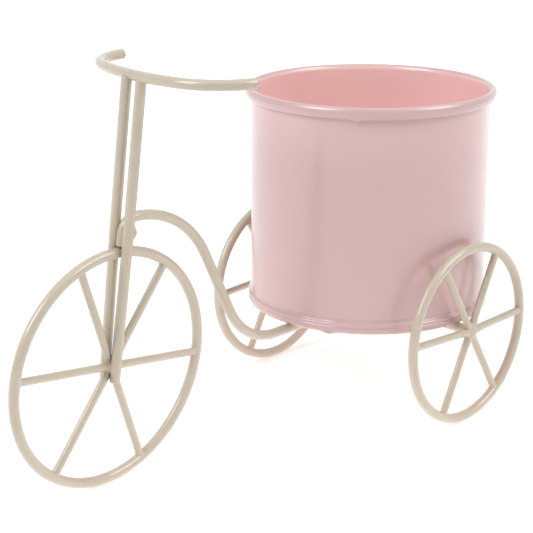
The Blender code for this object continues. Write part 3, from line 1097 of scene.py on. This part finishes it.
@dataclass
class WeldPool:
    """Weld metal run together over a crossing: stubs and a mound fused, then smoothed."""

    name: str
    place: Matrix
    mound: Triple
    stubs: tuple[Stub, ...]
    voxel: float = 0.00022
    smoothing: int = 10
    softness: float = 0.5
    sides: int = 24
    mound_rings: int = 16

    def build(self, paint: Paint, *nodes: str) -> None:
        """Fuses the stubs and the mound into one skin.

        Args:
            paint: The pool's paint.
            *nodes: The CAD nodes that it stands for.
        """
        select_nothing()
        bpy.ops.mesh.primitive_uv_sphere_add(segments=2 * self.mound_rings, ring_count=self.mound_rings)
        bpy.context.object.scale = self.mound
        pool = begin(self.name)
        cones = []
        for start, end, thick, thin in self.stubs:
            axis = end - start
            bpy.ops.mesh.primitive_cone_add(
                vertices=self.sides, radius1=thick, radius2=thin, depth=axis.length,
                location=(start + end) / 2.0, rotation=axis.to_track_quat("Z", "Y").to_euler(),
            )
            cones.append(bpy.context.object)
        pick(pool)
        for cone in cones:
            cone.select_set(True)
        bpy.ops.object.join()
        fuse = pool.modifiers.new("fuse", "REMESH")
        fuse.mode = "VOXEL"
        fuse.voxel_size = self.voxel
        soften = pool.modifiers.new("run together", "SMOOTH")
        soften.factor = self.softness
        soften.iterations = self.smoothing
        for modifier in (fuse, soften):
            bpy.ops.object.modifier_apply(modifier=modifier.name)
        close_up(pool, FUSED)
        seat(pool, self.place)
        put_on(pool, Slot.WIRE, paint, *nodes)


@dataclass
class JointShadeMarks:
    """Painted shade in the wires' coat: brownish darkening in the crevices where wires meet at the head, the
    front hub and the top of the front wheel, and two dark painted contact shadows at the hub.
    """

    layout: Layout
    # Brownish painted shade in the crevices of the joints at the head, the hub and the wheel's top
    head_reach: float = 0.0075
    head_strength: float = 0.30
    hub_reach: float = 0.0085
    top_reach: float = 0.0050
    strength: float = 0.45
    # Painted contact shadows: near-black brown below and above the hub crossing, where the legs meet the rods
    contact_shadow_tone: Tone = (0.13, 0.115, 0.07)
    contact_shadow_below: Triple = (0.0006, 0.0010, -0.0024)
    contact_shadow_below_reach: float = 0.0034
    contact_shadow_above: Triple = (0.0004, 0.0010, 0.0040)
    contact_shadow_above_reach: float = 0.0027

    def lay_out(self) -> list[TintAndShadeMark]:
        """Places the painted shade marks.

        Returns:
            The marks, from the weakest to the darkest.
        """
        lay = self.layout
        front = lay.front_frame()
        hub = front @ lay.fork_point(lay.hub_along(), 0.0)
        top = front @ lay.fork_point(lay.hub_along() + lay.front_ring, 0.0)
        return [
            TintAndShadeMark(lay.head(), self.head_reach, self.head_strength),
            TintAndShadeMark(hub, self.hub_reach, self.strength),
            TintAndShadeMark(top, self.top_reach, self.strength),
            # Painted contact shadows below and above the hub crossing
            TintAndShadeMark(hub + Vector(self.contact_shadow_below), self.contact_shadow_below_reach, 1.0, self.contact_shadow_tone),
            TintAndShadeMark(hub + Vector(self.contact_shadow_above), self.contact_shadow_above_reach, 1.0, self.contact_shadow_tone),
        ]


# Tricycle


@dataclass
class RearAssembly:
    """Both rear wheels with the weld pools on their hubs, and the axle between them."""

    layout: Layout
    paint: Paint
    wheel_clearance: float = 0.00175
    left_crossing: Pair = (-0.0014, 0.0006)
    right_crossing: Pair = (-0.0008, 0.0012)
    left_angles: tuple[float, ...] = (58.6, 117.2, 178.7, 297.2, 3.3)
    right_angles: tuple[float, ...] = (58.5, 117.7, 177.5, 297.7, -2.5)
    pool_mound: Triple = (0.0032, 0.0021, 0.0040)
    pool_run: float = 0.0062
    pool_swell: float = 1.12
    pool_outward: float = 0.0002
    pool_sag: float = 0.0003
    axle_end_sunk: float = 0.4
    axle_parts: int = 24

    def half_track(self) -> float:
        """How far each wheel's plane lies from the middle."""
        return self.layout.seam_radius + self.wheel_clearance + self.layout.wire

    def build(self) -> None:
        """Models and paints the wheels, pools and axle."""
        lay = self.layout
        axle = lay.axle()
        for side, prefix, cross, angles in (
            (1.0, "left_rear", self.left_crossing, self.left_angles),
            (-1.0, "right_rear", self.right_crossing, self.right_angles),
        ):
            hub = Matrix.Translation((axle.x, side * self.half_track(), lay.rear_height()))
            crossing = Vector((cross[0], 0.0, cross[1]))
            Wheel(lay, prefix, lay.rear_ring, hub, crossing, angles, self.paint).build()
            over = crossing + Vector((0.0, side * self.pool_outward, -self.pool_sag))
            stubs = rod_stubs(angles, self.pool_run, lay.spoke, self.pool_swell)
            pool = WeldPool(prefix + "_hub_pool", hub @ Matrix.Translation(over), self.pool_mound, stubs)
            pool.build(self.paint, prefix + "_hub_weld")
        reach = self.half_track() - lay.spoke * self.axle_end_sunk
        bender = WireBender("rear_axle_rod", lay.wire, Vector((axle.x, -reach, axle.z)), LEFT)
        rod = bender.straight(2.0 * reach, self.axle_parts).cut_off()
        put_on(rod, Slot.WIRE, self.paint, "rear_axle")


@dataclass
class FrameRod:
    """The bent rod from the axle to the fork's head."""

    layout: Layout
    paint: Paint
    left_long: float = 0.0007
    end_round: float = 0.0004
    foot_parts: int = 12
    slope_parts: int = 8
    stem_parts: int = 2

    def build(self) -> None:
        """Bends the rod from the axle forward and up, over its arch and down its stem."""
        lay = self.layout
        axle = lay.axle()
        from_axle = lay.wire - lay.sink
        right = -LEFT
        slope = math.degrees(lay.slope)
        bender = WireBender("bent_frame_rod", lay.wire, Vector((axle.x + from_axle, 0.0, axle.z)), FORWARD)
        bender.straight(lay.seam_radius + lay.foot_ahead_of_seam - from_axle, self.foot_parts)
        bender.bend(lay.foot_bend, slope, right).straight(lay.slope_length(), self.slope_parts)
        bender.bend(lay.arch, -slope, right).bend(lay.head_bend, math.degrees(lay.stem_rake) - 90.0, right)
        bender.straight(lay.stem_length, self.stem_parts).straight(self.left_long)
        put_on(bender.cut_off(self.end_round), Slot.WIRE, self.paint, "frame_rod")


@dataclass
class FrontAssembly:
    """Front wheel, both fork legs and the weld metal that joins them to the rods."""

    layout: Layout
    paint: Paint
    crossing: Pair = (-0.0002, 0.0008)
    angles: tuple[float, ...] = (69.7, 126.7, 187.9, 306.7, 7.9)
    top_spread: float = 0.00177
    top_sink: float = 0.0012
    head_spread: float = 0.0017
    hub_spread: float = 0.00085
    end_below_hub: float = 0.0046
    end_length: float = 0.0012
    end_round: float = 0.0005
    leg_parts: int = 12
    head_mound: Triple = (0.0018, 0.0047, 0.0032)
    head_behind: float = 0.0024
    head_rise: float = 0.0006
    head_stubs: tuple[Stub, ...] = (
        (Vector((0.0002, 0.0, -0.0030)), Vector((0.0004, 0.0, 0.0032)), 0.0016, 0.0015),
        (Vector((0.0008, 0.0030, -0.0022)), Vector((0.0006, 0.0030, 0.0028)), 0.0014, 0.0013),
        (Vector((0.0008, -0.0030, -0.0026)), Vector((0.0006, -0.0030, 0.0022)), 0.0014, 0.0013),
    )
    hub_mound: Triple = (0.0029, 0.0027, 0.0029)
    hub_run: float = 0.0050
    hub_swell: float = 1.10

    def build_leg(self, name: str, side: float, node: str) -> None:
        """Draws one leg from below the hub up into the handlebar's underside.

        Args:
            name: The piece's name.
            side: 1 for left, -1 for right.
            node: The CAD node that it stands for.
        """
        lay = self.layout
        low = lay.hub_along() - self.end_below_hub
        high = lay.fork_length_to(lay.bar_height() - lay.wire + self.top_sink)
        drawn_in = (self.head_spread - self.hub_spread) / -lay.hub_along()
        foot = lay.fork_point(low, side * (lay.wire + self.head_spread + drawn_in * low))
        head = lay.fork_point(0.0, side * (lay.wire + self.head_spread))
        top = lay.fork_point(high, side * (lay.wire + self.top_spread))
        bender = WireBender(name, lay.wire, foot, head - foot)
        bender.straight(self.end_length)
        bender.straight((head - foot).length - self.end_length, self.leg_parts)
        bender.heading = (top - head).normalized()
        bender.straight((top - head).length, self.leg_parts)
        leg = bender.cut_off(self.end_round)
        seat(leg, lay.front_frame())
        put_on(leg, Slot.WIRE, self.paint, node)

    def build_head_pool(self) -> None:
        """Runs weld metal between both legs and the frame rod's stem."""
        place = self.layout.front_frame() @ Matrix.Translation((-self.head_behind, 0.0, self.head_rise))
        WeldPool("head_weld_pool", place, self.head_mound, self.head_stubs).build(self.paint, "head_weld")

    def build(self) -> None:
        """Models and paints the wheel, the legs and the weld metal at head and hub."""
        lay = self.layout
        hub = lay.front_frame() @ Matrix.Translation(lay.fork_point(lay.hub_along(), 0.0))
        crossing = Vector((self.crossing[0], 0.0, self.crossing[1]))
        Wheel(lay, "front", lay.front_ring, hub, crossing, self.angles, self.paint).build()
        self.build_leg("left_leg_wire", 1.0, "left_fork_leg")
        self.build_leg("right_leg_wire", -1.0, "right_fork_leg")
        self.build_head_pool()
        stubs = rod_stubs(self.angles, self.hub_run, lay.spoke, self.hub_swell)
        place = hub @ Matrix.Translation(crossing)
        WeldPool("front_hub_pool", place, self.hub_mound, stubs).build(self.paint)


@dataclass
class Handlebar:
    """The handlebar, a shallow front arc that turns back into two grips."""

    layout: Layout
    paint: Paint
    front_radius: float = 0.0940
    front_angle: float = 13.9
    front_step: float = 1.2
    corner_radius: float = 0.0240
    corner_angle: float = 69.1
    corner_step: float = 3.0
    turn: float = -7.0
    set_back: float = 0.0008
    side_set: float = 0.0014
    end_round: float = 0.0006

    def build(self) -> None:
        """Bends the bar from its right grip round to its left one."""
        lay = self.layout
        whole = math.radians(self.front_angle + self.corner_angle)
        front = (self.front_radius, self.front_angle, UP, self.front_step)
        corner = (self.corner_radius, self.corner_angle, UP, self.corner_step)
        bender = WireBender("bent_handlebar", lay.wire, Vector(), Matrix.Rotation(-whole, 3, UP) @ LEFT)
        bender.bend(*corner).bend(*front)
        middle = bender.point.copy()
        bar = bender.bend(*front).bend(*corner).cut_off(self.end_round)
        sunk = lay.fork_length_to(lay.bar_height() - lay.wire + lay.sink)
        top = lay.front_frame() @ lay.fork_point(sunk, 0.0)
        centre = Vector((top.x - self.set_back, top.y - self.side_set, lay.bar_height()))
        spin = Matrix.Rotation(math.radians(self.turn), 4, "Z")
        seat(bar, Matrix.Translation(centre) @ spin @ Matrix.Translation(-middle))
        put_on(bar, Slot.WIRE, self.paint, "handlebar")


# Studio


def way_to(azimuth: float, elevation: float) -> Vector:
    """A way by its azimuth and elevation in degrees."""
    turn, rise = math.radians(azimuth), math.radians(elevation)
    return Vector((math.cos(turn) * math.cos(rise), math.sin(turn) * math.cos(rise), math.sin(rise)))


def stand(name: str, data: bpy.types.ID, place: Vector, look: Vector) -> Piece:
    """Puts a camera or a lamp in the scene.

    Args:
        name: Its name.
        data: The camera's or the lamp's own data.
        place: Where it stands.
        look: The way that it faces.

    Returns:
        The object.
    """
    piece = bpy.data.objects.new(name, data)
    piece.location = place
    piece.rotation_euler = look.to_track_quat("-Z", "Y").to_euler()
    bpy.context.scene.collection.objects.link(piece)
    return piece


@dataclass(frozen=True)
class Lamp:
    """A rectangular softbox aimed at the planter, placed by its direction and distance."""

    name: str
    azimuth: float
    elevation: float
    width: float
    height: float
    power: float
    tint: Tone = (1.0, 1.0, 1.0)
    distance: float = 1.5

    def hang(self, aim: Vector) -> None:
        """Adds the lamp to the scene.

        Args:
            aim: The point that it faces.
        """
        data = bpy.data.lights.new(self.name, "AREA")
        data.shape = "RECTANGLE"
        data.size = self.width
        data.size_y = self.height
        data.energy = self.power
        data.color = self.tint
        out = way_to(self.azimuth, self.elevation)
        stand(self.name, data, aim + out * self.distance, -out)


@dataclass
class Studio:
    """White floor, soft lamps and the camera at the photograph's angle."""

    camera_place: Triple = (0.40723, 0.39756, 0.24744)
    yaw: float = -136.099
    pitch: float = -17.265
    lens: float = 100.83
    sensor: float = 36.0
    nearest: float = 0.01
    farthest: float = 50.0
    floor_size: float = 6.0
    floor_colour: Tone = (0.80, 0.80, 0.80)
    floor_roughness: float = 0.9
    floor_shine: float = 0.1
    near_glow: float = 0.42
    far_glow: float = 0.72
    near_radius: float = 0.25
    far_radius: float = 0.80
    table_light: float = 0.70
    table_near: float = 0.08
    table_far: float = 0.42
    front_ambient: float = 0.012
    back_ambient: float = 0.62
    back_azimuth: float = 220.0
    backdrop: float = 1.0
    aim: Triple = (-0.04, 0.0, 0.08)
    lamps: tuple[Lamp, ...] = (
        Lamp("left_softbox", -13.0, 40.0, 0.70, 0.75, 12.0, (0.98, 1.0, 1.03)),
        Lamp("right_softbox", 116.0, 42.0, 0.80, 0.80, 11.0),
        Lamp("top_softbox", 40.0, 85.0, 1.60, 1.60, 4.5),
    )

    def build_camera(self) -> None:
        """Sets the camera up."""
        data = bpy.data.cameras.new("photograph_camera")
        data.lens = self.lens
        data.sensor_width = self.sensor
        data.clip_start = self.nearest
        data.clip_end = self.farthest
        look = way_to(self.yaw, self.pitch)
        bpy.context.scene.camera = stand("photograph_camera", data, Vector(self.camera_place), look)

    def seen_rays(self, board: NodeBoard) -> Socket:
        """Tells the rays that show the white background from those that only light the planter.

        Args:
            board: The node board to build on.

        Returns:
            1 for camera, glossy and transmission rays, else 0.
        """
        rays = board.add("LightPath", {})
        mirrored = board.combine("MAXIMUM", rays["Is Camera Ray"], rays["Is Glossy Ray"])
        return board.combine("MAXIMUM", mirrored, rays["Is Transmission Ray"])

    def build_floor(self) -> None:
        """Lays the white floor, which keeps the planter's shadow."""
        select_nothing()
        bpy.ops.mesh.primitive_plane_add(size=self.floor_size)
        floor = begin("studio_floor")
        made = bpy.data.materials.new("studio_white")
        made.use_nodes = True
        board = NodeBoard(made.node_tree)
        away = board.measure("LENGTH", board.add("TexCoord", {})["Object"])
        glow = board.spread(away, self.near_radius, self.far_radius, self.near_glow, self.far_glow)
        table = board.spread(away, self.table_near, self.table_far, self.table_light, 0.0)
        board.feed(made.node_tree.nodes["Principled BSDF"], {
            "Base Color": self.floor_colour, "Roughness": self.floor_roughness,
            "Specular IOR Level": self.floor_shine, "Emission Color": (1.0, 1.0, 1.0),
            "Emission Strength": board.mix_values(self.seen_rays(board), table, glow),
        })
        floor.data.materials.append(made)

    def build_light(self) -> None:
        """Hangs the lamps and sets the pale surroundings."""
        world = bpy.data.worlds.new("studio_surroundings")
        world.use_nodes = True
        bpy.context.scene.world = world
        board = NodeBoard(world.node_tree)
        around = board.add("TexCoord", {})["Generated"]
        toward = board.measure("DOT_PRODUCT", around, way_to(self.back_azimuth, 0.0))
        soft = board.spread(toward, -1.0, 1.0, self.front_ambient, self.back_ambient)
        strength = board.mix_values(self.seen_rays(board), soft, self.backdrop)
        board.feed(world.node_tree.nodes["Background"], {"Color": (1.0, 1.0, 1.0), "Strength": strength})
        for lamp in self.lamps:
            lamp.hang(Vector(self.aim))

    def build(self) -> None:
        """Sets up the whole studio."""
        self.build_floor()
        self.build_light()
        self.build_camera()
        bpy.context.scene.view_settings.view_transform = "Standard"


def main() -> None:
    """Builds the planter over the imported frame, then the studio."""
    logging.basicConfig(level=logging.INFO, format="%(name)s: %(message)s")
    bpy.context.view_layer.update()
    layout = Layout()
    # The cream coat carries painted shade at the wire joints
    cream = CREAM_ENAMEL.mix(*JointShadeMarks(layout).lay_out())
    Pot(layout).build()
    RearAssembly(layout, cream).build()
    FrameRod(layout, cream).build()
    FrontAssembly(layout, cream).build()
    Handlebar(layout, cream).build()
    Studio().build()
    select_nothing()


if __name__ == "__main__":
    main()
